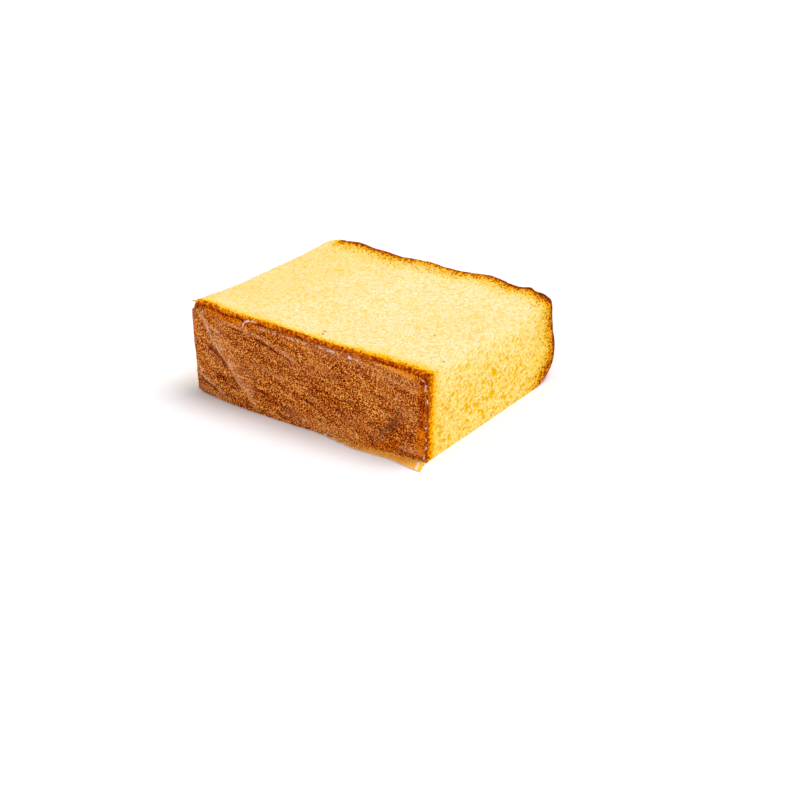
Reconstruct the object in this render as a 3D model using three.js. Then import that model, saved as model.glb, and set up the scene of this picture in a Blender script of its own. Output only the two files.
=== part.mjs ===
// One thick slice of castella sponge cake with the strip of baking paper that still clings to its base crust.
// Millimetres, +Z up. The slice lies on a cut face: +X runs along its long side, -Y is the papered base crust
// and +Y is the domed, browned top crust. The upper and lower faces, and both ends, are knife cuts.

import * as THREE from 'three';

// ---------------------------------------------------------------------------------------------------------
// Driving dimensions
// ---------------------------------------------------------------------------------------------------------

const LENGTH = 88.4; // long side, along the base crust
const CAKE_HEIGHT = 69.2; // from the crumb at the base to the plain top crust, between its swells
const THICKNESS_FRONT_LEFT = 29.8; // the knife ran a little askew, so the slice is a shallow wedge
const THICKNESS_FRONT_RIGHT = 27.0;
const THICKNESS_BACK_LEFT = 28.3;

const LEFT_CORNER_RADIUS = 4.5; // where the top crust meets the left cut, seen from above
const RIGHT_CORNER_RADIUS = 8;
const CRUST_ROLL_DEPTH = 9.5; // the top crust rolls under towards the lower cut: along y ...
const CRUST_ROLL_HEIGHT = 6.4; // ... and along z
const CRUST_BULGE = 2.0; // the top crust stands this proud at its fullest
const CRUST_BULGE_HEIGHT = 9.5;
const CRUST_BULGE_SPREAD = 6.4;
const CRUST_LIP = 0.6; // the crust overhangs the knife cut all along its upper edge
const CRUST_LIP_HEIGHT = 2.5;

// Swells and dips of the domed top crust along x: middle, height and half width of each.
const CRUST_SWELLS = [
  { at: 11, rise: 1.4, spread: 6 },
  { at: 28, rise: -0.6, spread: 4 },
  { at: 39.5, rise: 0.9, spread: 5 },
  { at: 62, rise: 2.7, spread: 6.5 },
  { at: 77, rise: 1.4, spread: 2 },
  { at: 85, rise: -0.8, spread: 2.5 },
];

const BASE_CRUST = 1.7; // the browned base crust in front of the crumb
const BASE_EDGE_HEIGHT = 2.2; // its upper edge is rounded over this height
const FOOT_FLARE = 4.1; // the base crust is pressed forward at its foot
const FOOT_FLARE_REACH = 20; // distance from the left end over which the flare grows
const LEFT_END_FLARE = 1.4; // the left end widens towards the base crust
const LEFT_END_REACH = 7;
const LEFT_END_HOLLOW = 1.1; // and is a little hollow further back
const RIGHT_END_LEAN = 0.9; // the right end leans out towards its upper edge

const PAPER_THICKNESS = 0.35;
const PAPER_GAP = 0.3;
const PAPER_LEFT_MARGIN = 0.6; // paper past the left cut
const PAPER_TOP_DROP = 2.4; // the paper stops this far below the upper cut ...
const PAPER_TOP_DROP_LEFT = 0.6; // ... but nearly reaches it at the left end
const PAPER_FLOOR_CLEARANCE = 0.15;
const PAPER_SHORT_AT_LEFT = 0.5; // and ends this much higher at the left end
const FLAP_BEND_RADIUS = 1.2; // the lower margin bends forward and lies on the table
const FLAP_FROM = 40; // the bend grows between these places along x
const FLAP_FULL = 68;
const FLAP_WIDENS_FROM = 76;
const FLAP_WIDTH_MIDDLE = 2.2;
const FLAP_WIDTH_RIGHT = 4.2;
const FLAP_CORNER_REACH = 1.4; // the free corner spreads past the right end
const FLAP_TILT = THREE.MathUtils.degToRad(7); // the flap slopes down to the table at this angle

// Folds of the loose paper, as ridges from one point of the front to another, in x and z.
const PAPER_FOLDS = [
  { from: [0.5, 26], to: [21, 2.5], rise: 0.8, spread: 1.6 },
  { from: [9, 25.5], to: [36, 19], rise: 0.6, spread: 1.5 },
  { from: [0.8, 7.5], to: [8, 1.5], rise: 0.5, spread: 1.0 },
];

// Mesh fineness.
const FRONT_STEPS = 26;
const END_STEPS = 12;
const RIGHT_CORNER_STEPS = 7;
const LEFT_CORNER_STEPS = 5;
const BACK_STEPS = 30;
const RESTING_FACE_INSET = 12; // the middle of the resting face is one plain rectangle
const PAPER_STEPS_ALONG = 42;
const PAPER_STEPS_DOWN = 18;
const FACE_SHARE = 2 / 3; // share of the steps down the paper that lie on the front

const CRUMB_COLOUR = 0xfde6a0;
const PAPER_COLOUR = 0xb4651f;

// ---------------------------------------------------------------------------------------------------------
// Shape functions
// ---------------------------------------------------------------------------------------------------------

const { lerp, smoothstep } = THREE.MathUtils;

const bell = (value, middle, spread) => Math.exp(-(((value - middle) / spread) ** 2));

// Height of the upper cut, a tilted plane.
function upperCut(x, y) {
  const fallAlong = ((THICKNESS_FRONT_LEFT - THICKNESS_FRONT_RIGHT) * x) / LENGTH;
  const fallAcross = ((THICKNESS_FRONT_LEFT - THICKNESS_BACK_LEFT) * y) / CAKE_HEIGHT;
  return THICKNESS_FRONT_LEFT - fallAlong - fallAcross;
}

// Where the crumb ends and the base crust begins along the upper cut.
function crumbFront(x) {
  const towardsLeftEnd = 1.8 * (1 - smoothstep(x, 3, 14));
  const leftHalf = 1.0 * (1 - smoothstep(x, 30, 58));
  return 0.2 + leftHalf + towardsLeftEnd;
}

// Foot of the base crust, where it meets the table.
function footFront(x) {
  const flare = FOOT_FLARE * (1 - Math.exp(-Math.max(x, 0) / FOOT_FLARE_REACH));
  return -0.2 - flare + 0.9 * smoothstep(x, 60, LENGTH);
}

// Front of the base crust: straight from its foot to the start of the rounded upper edge, then a quarter
// of an ellipse back to the crumb.
function baseFront(x, z) {
  const edge = crumbFront(x);
  const roundedFrom = upperCut(x, edge) - BASE_EDGE_HEIGHT;
  if (z <= roundedFrom) {
    return lerp(footFront(x), edge - BASE_CRUST, z / roundedFrom);
  }
  const over = Math.min((z - roundedFrom) / BASE_EDGE_HEIGHT, 1);
  return edge - BASE_CRUST * Math.sqrt(1 - over * over);
}

function leftEnd(y, z) {
  const flare = LEFT_END_FLARE * Math.exp(-Math.max(y, 0) / LEFT_END_REACH) * smoothstep(z, 8, 26);
  const hollow = LEFT_END_HOLLOW * smoothstep(y, 4, 20) * (1 - 0.7 * smoothstep(y, 46, 62));
  return 0.6 - flare + hollow;
}

function rightEnd(z) {
  return LENGTH + (RIGHT_END_LEAN * z) / THICKNESS_FRONT_RIGHT;
}

// How far the top crust stands out from its plain plane at a place along x and at a height.
function crustRelief(x, z) {
  const belowCut = upperCut(x, CAKE_HEIGHT) - z;
  const lip = CRUST_LIP * smoothstep(belowCut, 0, CRUST_LIP_HEIGHT);
  const bulge = CRUST_BULGE * bell(z, CRUST_BULGE_HEIGHT, CRUST_BULGE_SPREAD);
  const under = Math.max(CRUST_ROLL_HEIGHT - z, 0) / CRUST_ROLL_HEIGHT;
  const roll = CRUST_ROLL_DEPTH * (1 - Math.sqrt(1 - under * under));
  const fade = 0.5 + 0.5 * smoothstep(z, 0, 20);
  const swells = CRUST_SWELLS.reduce((sum, s) => sum + s.rise * bell(x, s.at, s.spread), 0);
  return lip + bulge - roll + fade * swells;
}

// One closed line round the slice, all at the same share of its local height.
function girdle(share) {
  const points = [];
  const heightAt = (x, y) => share * upperCut(x, y);
  const add = (x, y) => points.push(new THREE.Vector3(x, y, heightAt(x, y)));

  const roughFront = heightAt(LENGTH / 2, 0);
  const left = (y) => leftEnd(y, heightAt(0, y));
  const right = (y) => rightEnd(heightAt(LENGTH, y));
  const back = (x) => CAKE_HEIGHT + crustRelief(x, heightAt(x, CAKE_HEIGHT));

  const frontLeft = left(0);
  const frontRight = right(0);
  for (let i = 0; i < FRONT_STEPS; i += 1) {
    const x = lerp(frontLeft, frontRight, i / FRONT_STEPS);
    add(x, baseFront(x, heightAt(x, crumbFront(x))));
  }

  const rightSideFrom = baseFront(frontRight, roughFront);
  const rightSideTo = back(right(CAKE_HEIGHT)) - RIGHT_CORNER_RADIUS;
  for (let i = 0; i < END_STEPS; i += 1) {
    const y = i === 0
      ? baseFront(frontRight, heightAt(frontRight, crumbFront(frontRight)))
      : lerp(rightSideFrom, rightSideTo, i / END_STEPS);
    add(right(y), y);
  }

  const rightCentre = right(CAKE_HEIGHT) - RIGHT_CORNER_RADIUS;
  for (let i = 0; i < RIGHT_CORNER_STEPS; i += 1) {
    const turn = ((Math.PI / 2) * i) / RIGHT_CORNER_STEPS;
    const x = rightCentre + RIGHT_CORNER_RADIUS * Math.cos(turn);
    add(x, back(x) - RIGHT_CORNER_RADIUS * (1 - Math.sin(turn)));
  }

  const leftCentre = left(CAKE_HEIGHT) + LEFT_CORNER_RADIUS;
  for (let i = 0; i < BACK_STEPS; i += 1) {
    const x = lerp(rightCentre, leftCentre, i / BACK_STEPS);
    add(x, back(x));
  }

  for (let i = 0; i < LEFT_CORNER_STEPS; i += 1) {
    const turn = ((Math.PI / 2) * i) / LEFT_CORNER_STEPS;
    const x = leftCentre - LEFT_CORNER_RADIUS * Math.sin(turn);
    add(x, back(x) - LEFT_CORNER_RADIUS * (1 - Math.cos(turn)));
  }

  const leftSideFrom = back(left(CAKE_HEIGHT)) - LEFT_CORNER_RADIUS;
  const leftSideTo = baseFront(frontLeft, heightAt(frontLeft, crumbFront(frontLeft)));
  for (let i = 0; i < END_STEPS; i += 1) {
    const y = lerp(leftSideFrom, leftSideTo, i / END_STEPS);
    add(left(y), y);
  }
  return points;
}

// ---------------------------------------------------------------------------------------------------------
// Meshes
// ---------------------------------------------------------------------------------------------------------

function closedGeometry(points, triangles) {
  const geometry = new THREE.BufferGeometry();
  geometry.setFromPoints(points);
  geometry.setIndex(triangles.flat());
  geometry.computeVertexNormals();
  return geometry;
}

const foodMaterial = (color, roughness) => new THREE.MeshStandardMaterial({ color, roughness, metalness: 0 });

// Shares of the height at which the girdles lie, closer where the crust rolls under and at the upper edge.
const GIRDLE_SHARES = [
  0, 0.008, 0.025, 0.06, 0.11, 0.17, 0.25, 0.34, 0.45, 0.57, 0.69, 0.8, 0.885, 0.925, 0.955, 0.98, 0.994, 1,
];

// The slice: girdles joined by bands, closed by the upper cut and the resting face.
function makeSponge() {
  const girdles = GIRDLE_SHARES.map(girdle);
  const around = girdles[0].length;
  const points = girdles.flat();
  const triangles = [];
  for (let level = 0; level + 1 < girdles.length; level += 1) {
    for (let i = 0; i < around; i += 1) {
      const next = (i + 1) % around;
      const a = level * around + i;
      const b = level * around + next;
      triangles.push([a, b, b + around], [a, b + around, a + around]);
    }
  }

  const flat = (list) => list.map((p) => new THREE.Vector2(p.x, p.y));
  const top = girdles.length - 1;
  for (const [a, b, c] of THREE.ShapeUtils.triangulateShape(flat(girdles[top]), [])) {
    triangles.push([top * around + a, top * around + b, top * around + c]);
  }

  const low = RESTING_FACE_INSET;
  const middle = [
    new THREE.Vector3(low, low, 0),
    new THREE.Vector3(LENGTH - low, low, 0),
    new THREE.Vector3(LENGTH - low, CAKE_HEIGHT - 1.5 * low, 0),
    new THREE.Vector3(low, CAKE_HEIGHT - 1.5 * low, 0),
  ];
  const firstMiddle = points.length;
  points.push(...middle);
  const onBase = (i) => (i < around ? i : firstMiddle + i - around);
  for (const [a, b, c] of THREE.ShapeUtils.triangulateShape(flat(girdles[0]), [flat(middle)])) {
    triangles.push([onBase(a), onBase(c), onBase(b)]);
  }
  triangles.push([firstMiddle, firstMiddle + 2, firstMiddle + 1]);
  triangles.push([firstMiddle, firstMiddle + 3, firstMiddle + 2]);

  const sponge = new THREE.Mesh(closedGeometry(points, triangles), foodMaterial(CRUMB_COLOUR, 0.9));
  sponge.name = 'sponge';
  return sponge;
}

// How far the paper stands off the crust because of its folds.
function foldRelief(x, z) {
  let relief = 0;
  for (const fold of PAPER_FOLDS) {
    const from = new THREE.Vector2(...fold.from);
    const along = new THREE.Vector2(...fold.to).sub(from);
    const here = new THREE.Vector2(x, z).sub(from);
    const share = THREE.MathUtils.clamp(here.dot(along) / along.lengthSq(), 0, 1);
    const distance = here.sub(along.multiplyScalar(share)).length();
    relief += fold.rise * bell(distance, 0, fold.spread);
  }
  return relief;
}

// Middle surface of the paper: down the front of the base crust, then round a bend and out over the table.
function paperPoint(along, down) {
  const x = lerp(-PAPER_LEFT_MARGIN, LENGTH, along);
  const loose = smoothstep(x, FLAP_FROM, FLAP_FULL);
  const bend = loose * (Math.PI / 2 - FLAP_TILT);
  const flap = loose * lerp(FLAP_WIDTH_MIDDLE, FLAP_WIDTH_RIGHT, smoothstep(x, FLAP_WIDENS_FROM, LENGTH));
  const shortfall = PAPER_SHORT_AT_LEFT * (1 - smoothstep(x, 0, 14));
  const edgeHeight = PAPER_FLOOR_CLEARANCE + PAPER_THICKNESS / 2 + shortfall;
  const bendHeight = edgeHeight + FLAP_BEND_RADIUS * Math.sin(bend) + flap * Math.cos(bend);
  const topDrop = lerp(PAPER_TOP_DROP_LEFT, PAPER_TOP_DROP, smoothstep(x, 16, 25));
  const topHeight = upperCut(x, 0) - topDrop;

  const z = lerp(topHeight, bendHeight, Math.min(down / FACE_SHARE, 1));
  const y = baseFront(x, z) - PAPER_GAP - PAPER_THICKNESS / 2 - foldRelief(x, z);
  const past = Math.max(down - FACE_SHARE, 0) / (1 - FACE_SHARE);
  const turn = bend * Math.min(2 * past, 1);
  const out = flap * Math.max(2 * past - 1, 0);
  const spread = FLAP_CORNER_REACH * (out / FLAP_WIDTH_RIGHT) * smoothstep(x, FLAP_WIDENS_FROM, LENGTH);
  return new THREE.Vector3(
    x + spread,
    y - FLAP_BEND_RADIUS * (1 - Math.cos(turn)) - out * Math.sin(turn),
    z - FLAP_BEND_RADIUS * Math.sin(turn) - out * Math.cos(turn),
  );
}

// The baking paper: its middle surface given a front and a back, split into triangles alike, and a rim.
function makePaper() {
  const columns = PAPER_STEPS_ALONG + 1;
  const rows = PAPER_STEPS_DOWN + 1;
  const step = 1e-3;
  const front = [];
  const back = [];
  for (let i = 0; i < columns; i += 1) {
    for (let j = 0; j < rows; j += 1) {
      const along = i / PAPER_STEPS_ALONG;
      const down = j / PAPER_STEPS_DOWN;
      const here = paperPoint(along, down);
      const acrossPaper = paperPoint(along + step, down).sub(paperPoint(along - step, down));
      const downPaper = paperPoint(along, down + step).sub(paperPoint(along, down - step));
      const outward = downPaper.cross(acrossPaper).normalize();
      front.push(here.clone().addScaledVector(outward, PAPER_THICKNESS / 2));
      back.push(here.clone().addScaledVector(outward, -PAPER_THICKNESS / 2));
    }
  }

  const triangles = [];
  const total = columns * rows;
  const at = (i, j) => i * rows + j;
  for (let i = 0; i < PAPER_STEPS_ALONG; i += 1) {
    for (let j = 0; j < PAPER_STEPS_DOWN; j += 1) {
      const a = at(i, j);
      const b = at(i, j + 1);
      const c = at(i + 1, j + 1);
      const d = at(i + 1, j);
      triangles.push([a, b, c], [a, c, d]);
      triangles.push([total + a, total + c, total + b], [total + a, total + d, total + c]);
    }
  }
  const rim = [];
  for (let i = 0; i < PAPER_STEPS_ALONG; i += 1) rim.push(at(i, 0));
  for (let j = 0; j < PAPER_STEPS_DOWN; j += 1) rim.push(at(PAPER_STEPS_ALONG, j));
  for (let i = PAPER_STEPS_ALONG; i > 0; i -= 1) rim.push(at(i, PAPER_STEPS_DOWN));
  for (let j = PAPER_STEPS_DOWN; j > 0; j -= 1) rim.push(at(0, j));
  rim.forEach((a, i) => {
    const b = rim[(i + 1) % rim.length];
    triangles.push([a, b, total + b], [a, total + b, total + a]);
  });

  const paper = new THREE.Mesh(closedGeometry([...front, ...back], triangles), foodMaterial(PAPER_COLOUR, 0.6));
  paper.name = 'baking_paper';
  return paper;
}

// ---------------------------------------------------------------------------------------------------------
// The part, with its origin under the middle of its box
// ---------------------------------------------------------------------------------------------------------

const slice = new THREE.Group();
slice.add(makeSponge(), makePaper());
const box = new THREE.Box3().setFromObject(slice);
const centre = box.getCenter(new THREE.Vector3());
slice.position.set(-centre.x, -centre.y, -box.min.z);

export default slice;
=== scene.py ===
"""One thick slice of castella sponge cake with the strip of baking paper that still clings to its base crust.

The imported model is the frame: +X runs along the slice, -Y is the papered base crust, +Y is the domed top
crust, and the slice lies on its lower knife cut at Z = 0. Shapes are worked out in millimetres from the
slice's own front-left-bottom corner, and turned into metres of the frame as they go into a mesh.
"""

from math import cos, radians, sin

import bmesh
import bpy
import numpy as np
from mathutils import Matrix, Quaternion, Vector


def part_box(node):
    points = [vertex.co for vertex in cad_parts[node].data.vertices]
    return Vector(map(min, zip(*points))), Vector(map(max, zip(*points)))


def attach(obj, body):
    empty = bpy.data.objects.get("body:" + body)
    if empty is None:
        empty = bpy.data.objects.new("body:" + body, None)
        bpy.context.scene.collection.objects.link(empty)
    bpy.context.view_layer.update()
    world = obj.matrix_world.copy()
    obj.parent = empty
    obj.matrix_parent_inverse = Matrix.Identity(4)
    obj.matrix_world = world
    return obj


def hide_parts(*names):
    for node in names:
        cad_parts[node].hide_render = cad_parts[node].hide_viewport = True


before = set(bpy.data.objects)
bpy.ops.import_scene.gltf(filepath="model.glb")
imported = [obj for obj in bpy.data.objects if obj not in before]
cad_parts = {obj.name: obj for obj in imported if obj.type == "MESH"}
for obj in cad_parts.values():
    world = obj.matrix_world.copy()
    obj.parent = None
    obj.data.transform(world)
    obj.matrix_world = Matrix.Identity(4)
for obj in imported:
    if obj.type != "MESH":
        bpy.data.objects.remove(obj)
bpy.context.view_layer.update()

# ----------------------------------------------------------------------------------------------------------
# Sponge slice. A castella is whipped from egg, sugar, honey and flour and baked in a deep tray lined with
# paper. Two long knife cuts and two cross cuts free the slice: they show the fine, even, springy crumb,
# while the domed top keeps its thin dark crust and the base its flat, sticky brown one.
# ----------------------------------------------------------------------------------------------------------

LENGTH = 88.4
CAKE_HEIGHT = 69.2
THICKNESS_FRONT_LEFT = 29.8
THICKNESS_FRONT_RIGHT = 27.0
THICKNESS_BACK_LEFT = 28.3

LEFT_CORNER_RADIUS = 4.5
RIGHT_CORNER_RADIUS = 8.0
CRUST_ROLL_DEPTH = 9.5
CRUST_ROLL_HEIGHT = 6.4
CRUST_BULGE = 2.0
CRUST_BULGE_HEIGHT = 9.5
CRUST_BULGE_SPREAD = 6.4
CRUST_LIP = 0.6
CRUST_LIP_HEIGHT = 2.5
# The crust wraps round the right corner by this angle, and is this far off at the corner's front end.
CRUST_WRAP = radians(37)
SIDE_CUT_COVER = 3.3
# Swells of the domed top: place along x, rise and spread. Above this height they have their full rise.
CRUST_SWELLS = ((11, 1.4, 6), (28, -0.6, 4), (39.5, 0.9, 5), (62, 2.7, 6.5), (77, 1.4, 2), (85, -0.8, 2.5))
SWELLS_FULL_HEIGHT = 20.0

BASE_CRUST = 1.7
BASE_EDGE_HEIGHT = 2.2
# Where the crumb begins along the upper cut, and how far it is set back before which stretches of x.
CRUMB_START = 0.2
CRUMB_SET_BACK = ((1.0, 30, 58), (1.8, 3, 14))
FOOT_START = -0.2
FOOT_FLARE = 4.1
FOOT_FLARE_REACH = 20.0
FOOT_RETURN = 0.9
FOOT_RETURN_FROM = 60.0
# The left end's flare grows and is tucked in again over these heights, and its hollow opens and closes over
# these stretches of y.
LEFT_END_START = 0.6
LEFT_END_FLARE = 1.9
LEFT_END_REACH = 7.0
FLARE_GROWS = (4, 24)
FLARE_TUCK = 0.35
FLARE_TUCKED = (27, 30)
LEFT_END_HOLLOW = 1.1
HOLLOW_OPENS = (4, 20)
HOLLOW_CLOSING = 0.7
HOLLOW_CLOSES = (46, 62)
RIGHT_END_LEAN = 0.9


def smooth_step(value, low, high):
    """0 below low, 1 above high, and 3t^2 - 2t^3 of the share t of the way between them."""
    share = np.clip((value - low) / (high - low), 0, 1)
    return share * share * (3 - 2 * share)


def bell(value, middle, spread):
    """Bell curve of height 1: e to the minus square of the distance from the middle in spreads."""
    return np.exp(-(((value - middle) / spread) ** 2))


def between(first, last, share):
    """The value at a share of the way from first to last."""
    return first + (last - first) * share


def upper_cut(x, y):
    """Height of the upper cut: a plane that falls evenly along the slice and across it."""
    fall_along = (THICKNESS_FRONT_LEFT - THICKNESS_FRONT_RIGHT) * x / LENGTH
    fall_across = (THICKNESS_FRONT_LEFT - THICKNESS_BACK_LEFT) * y / CAKE_HEIGHT
    return THICKNESS_FRONT_LEFT - fall_along - fall_across


def crumb_front(x):
    """Where crumb meets base crust along the upper cut: near y = 0, set back in two steps to the left."""
    return sum((back * (1 - smooth_step(x, low, high)) for back, low, high in CRUMB_SET_BACK), CRUMB_START)


def foot_front(x):
    """Foot of the base crust: it flares forward by 1 less e to the minus x over the reach, then returns."""
    flare = FOOT_FLARE * (1 - np.exp(-np.maximum(x, 0) / FOOT_FLARE_REACH))
    return FOOT_START - flare + FOOT_RETURN * smooth_step(x, FOOT_RETURN_FROM, LENGTH)


def plain_front(x, z):
    """Front of the base crust without its rounded upper edge: a straight slope from its foot upwards."""
    edge = crumb_front(x)
    rounded_from = upper_cut(x, edge) - BASE_EDGE_HEIGHT
    return between(foot_front(x), edge - BASE_CRUST, np.minimum(z / rounded_from, 1))


def base_front(x, z):
    """Front of the base crust: the plain slope, then a quarter of an ellipse back to the crumb."""
    rounded_from = upper_cut(x, crumb_front(x)) - BASE_EDGE_HEIGHT
    over = np.clip((z - rounded_from) / BASE_EDGE_HEIGHT, 0, 1)
    return plain_front(x, z) + BASE_CRUST * (1 - np.sqrt(1 - over * over))


def left_end(y, z):
    """The left cut: it flares out at the base crust, less near the upper and the lower cut, and fades back
    by e to the minus y over the reach. Further back it is a little hollow."""
    flare = LEFT_END_FLARE * np.exp(-np.maximum(y, 0) / LEFT_END_REACH) * smooth_step(z, *FLARE_GROWS)
    flare = flare * (1 - FLARE_TUCK * smooth_step(z, *FLARE_TUCKED))
    hollow = LEFT_END_HOLLOW * smooth_step(y, *HOLLOW_OPENS)
    return LEFT_END_START - flare + hollow * (1 - HOLLOW_CLOSING * smooth_step(y, *HOLLOW_CLOSES))


def right_end(z):
    """The right cut: a plane that leans out with height."""
    return LENGTH + RIGHT_END_LEAN * z / THICKNESS_FRONT_RIGHT


def crust_back(x, z):
    """The top crust: plain plane, plus lip below the cut, plus bulge, less the roll-under (a quarter of an
    ellipse down to the lower cut), plus swells along x that shrink to half towards the lower cut."""
    lip = CRUST_LIP * smooth_step(upper_cut(x, CAKE_HEIGHT) - z, 0, CRUST_LIP_HEIGHT)
    bulge = CRUST_BULGE * bell(z, CRUST_BULGE_HEIGHT, CRUST_BULGE_SPREAD)
    under = np.clip(1 - z / CRUST_ROLL_HEIGHT, 0, 1)
    roll = CRUST_ROLL_DEPTH * (1 - np.sqrt(1 - under * under))
    swells = sum(rise * bell(x, at, spread) for at, rise, spread in CRUST_SWELLS)
    swells = (0.5 + 0.5 * smooth_step(z, 0, SWELLS_FULL_HEIGHT)) * swells
    return CAKE_HEIGHT + lip + bulge - roll + swells


def round_corner(to_side, to_back, radius):
    """Bends the square corner of a plan into a quarter circle. With e and f the shares of the radius by
    which a point lies inside the corner's square, from the side and from the back, e shrinks by the root of
    1 - f^2/2 and f by the root of 1 - e^2/2."""
    e = np.clip(1 - to_side / radius, 0, 1)
    f = np.clip(1 - to_back / radius, 0, 1)
    to_side = to_side + radius * e * (1 - np.sqrt(1 - f * f / 2))
    to_back = to_back + radius * f * (1 - np.sqrt(1 - e * e / 2))
    return to_side, to_back


def crust_cover(to_side, to_back):
    """Distance in mm to the crust that wraps round the right corner. It is the distance to the back, less a
    share that grows with the square of the nearness e to the side cut. In the corner's square it is no more
    than the distance to the quarter circle plus a term that falls to 0 as the turn from the side reaches
    the wrap."""
    e = np.clip(1 - to_side / RIGHT_CORNER_RADIUS, 0, 1)
    f = np.clip(1 - to_back / RIGHT_CORNER_RADIUS, 0, 1)
    cover = to_back - e * e * (RIGHT_CORNER_RADIUS - SIDE_CUT_COVER)
    reach = np.hypot(e, f)
    turned = f / np.maximum(reach, 1e-6) / sin(CRUST_WRAP)
    wrapped = RIGHT_CORNER_RADIUS * (1 - reach) + SIDE_CUT_COVER * np.clip(1 - turned, 0, 1)
    return np.maximum(np.where((e > 0) & (f > 0), np.minimum(cover, wrapped), cover), 0)


ROLL_STEP = 0.5


def slice_shape(along, across, up):
    """Places points of a unit brick on the slice. Each runs between the left and right cuts, between the
    base and top crusts, and up to the upper cut, then the two corners of the top crust are rounded. Returns
    the points and their distances in mm from the base crust's face and from the top crust's, which is the
    nearest of its places at steps down its roll-under."""
    rough_y = CAKE_HEIGHT * across
    left = left_end(rough_y, up * upper_cut(0, rough_y))
    right = right_end(up * upper_cut(LENGTH, rough_y))
    x = between(left, right, along)
    front = base_front(x, up * upper_cut(x, crumb_front(x)))
    back_height = up * upper_cut(x, CAKE_HEIGHT)
    to_back = (1 - across) * (crust_back(x, back_height) - front)
    from_left, to_back = round_corner(x - left, to_back, LEFT_CORNER_RADIUS)
    from_right, to_back = round_corner(right - left - from_left, to_back, RIGHT_CORNER_RADIUS)
    x = right - from_right
    y = crust_back(x, back_height) - to_back
    z = up * upper_cut(x, y)
    nearest = to_back
    for drop in np.arange(ROLL_STEP, CRUST_ROLL_HEIGHT, ROLL_STEP):
        height = np.maximum(back_height - drop, 0)
        nearest = np.minimum(nearest, np.hypot(y - crust_back(x, height), back_height - height))
    cover = crust_cover(from_right, to_back) * nearest / np.maximum(to_back, 1e-6)
    # No browning shows round the left corner, so the distance to the crust is raised there.
    cover = cover + 2 * LEFT_CORNER_RADIUS * np.clip(1 - from_left / LEFT_CORNER_RADIUS, 0, 1) ** 2
    return np.stack([x, y, z], -1), y - plain_front(x, z), cover


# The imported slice's box starts this far to the left of the slice's corner.
LEFT_OVERHANG = 0.8
slice_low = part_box("sponge")[0] * 1000
FOOT_SAMPLES = 400
foot_low = foot_front(np.linspace(0, LENGTH, FOOT_SAMPLES)).min()
ORIGIN = np.array([slice_low.x + LEFT_OVERHANG, slice_low.y - foot_low, 0])


def in_frame(points):
    """Points of the slice in mm as metres of the frame."""
    return (points + ORIGIN) / 1000


CUBES_REPEAT = 40


def hashed_draws(points, size, seed, count):
    """Seeded random numbers from 0 to 1 for the cube of the given size that each point is in."""
    table = np.random.default_rng(seed).random((CUBES_REPEAT, CUBES_REPEAT, CUBES_REPEAT, count))
    cells = np.floor(points / size).astype(int) % CUBES_REPEAT
    return table[cells[:, 0], cells[:, 1], cells[:, 2]]


def lumps(points, size, seed):
    """Smooth random relief from -1 to 1: random values at the corners of cubes of the given size, blended
    inside each cube by the smooth step of the share of the way across it along each axis."""
    share = points / size - np.floor(points / size)
    share = share * share * (3 - 2 * share)
    total = np.zeros(len(points))
    for corner in np.ndindex(2, 2, 2):
        weight = np.prod(np.where(corner, share, 1 - share), axis=1)
        total += weight * hashed_draws(points + np.array(corner) * size, size, seed, 1)[:, 0]
    return 2 * total - 1


def layered(points, layers):
    """Sum of lumps, where each layer has its height and lump size in mm and its seed."""
    return sum(height * lumps(points, size, seed) for height, size, seed in layers)


# Bubbles are drawn out by this factor along the cake's height.
BUBBLE_RISE = 1.2


def open_bubbles(points, outward, size, smallest, largest, seed):
    """Depth in mm of the gas bubbles that a cut laid open. Each cube of the given size holds one sphere, at
    a random place and of a random radius r. A point inside a sphere sinks against its outward direction n
    to the sphere's far wall, by the larger root t of |q - t n|^2 = r^2, where q runs from the sphere's
    centre. All this is drawn out along the cake's height, the way the bubbles rose."""
    points = points / (1, BUBBLE_RISE, 1)
    depth = np.zeros(len(points))
    for step in np.ndindex(3, 3, 3):
        nearby = points + (np.array(step) - 1) * size
        draws = hashed_draws(nearby, size, seed, 4)
        centre = (np.floor(nearby / size) + draws[:, :3]) * size
        radius = between(smallest, largest, draws[:, 3] ** 2)
        q = points - centre
        off_middle = (q * outward).sum(1)
        inside = radius**2 - (q * q).sum(1)
        sunk = off_middle + np.sqrt(np.maximum(off_middle**2 + inside, 0))
        depth = np.where(inside > 0, np.maximum(depth, sunk), depth)
    return depth


CELLS_ALONG = 216
CELLS_ACROSS = 168
CELLS_UP = 78
# Share of a cosine's crowding of the rows towards the two cuts.
ROW_CROWDING = 0.5

i, j, k = np.meshgrid(*(np.arange(n + 1) for n in (CELLS_ALONG, CELLS_ACROSS, CELLS_UP)), indexing="ij")
on_left, on_right = i == 0, i == CELLS_ALONG
on_front, on_back = j == 0, j == CELLS_ACROSS
on_surface = on_left | on_right | on_front | on_back | (k == CELLS_UP)
numbers = np.cumsum(on_surface).reshape(on_surface.shape) - 1

up_share = k[on_surface] / CELLS_UP
up_share = between(up_share, (1 - np.cos(np.pi * up_share)) / 2, ROW_CROWDING)
points, from_base, from_top = slice_shape(i[on_surface] / CELLS_ALONG, j[on_surface] / CELLS_ACROSS, up_share)


def grid_quads(grid):
    """Four-sided faces between neighbours of a grid of numbers, turning from its first axis to its second."""
    corners = grid[:-1, :-1], grid[1:, :-1], grid[1:, 1:], grid[:-1, 1:]
    return np.stack(corners, -1).reshape(-1, 4)


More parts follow.
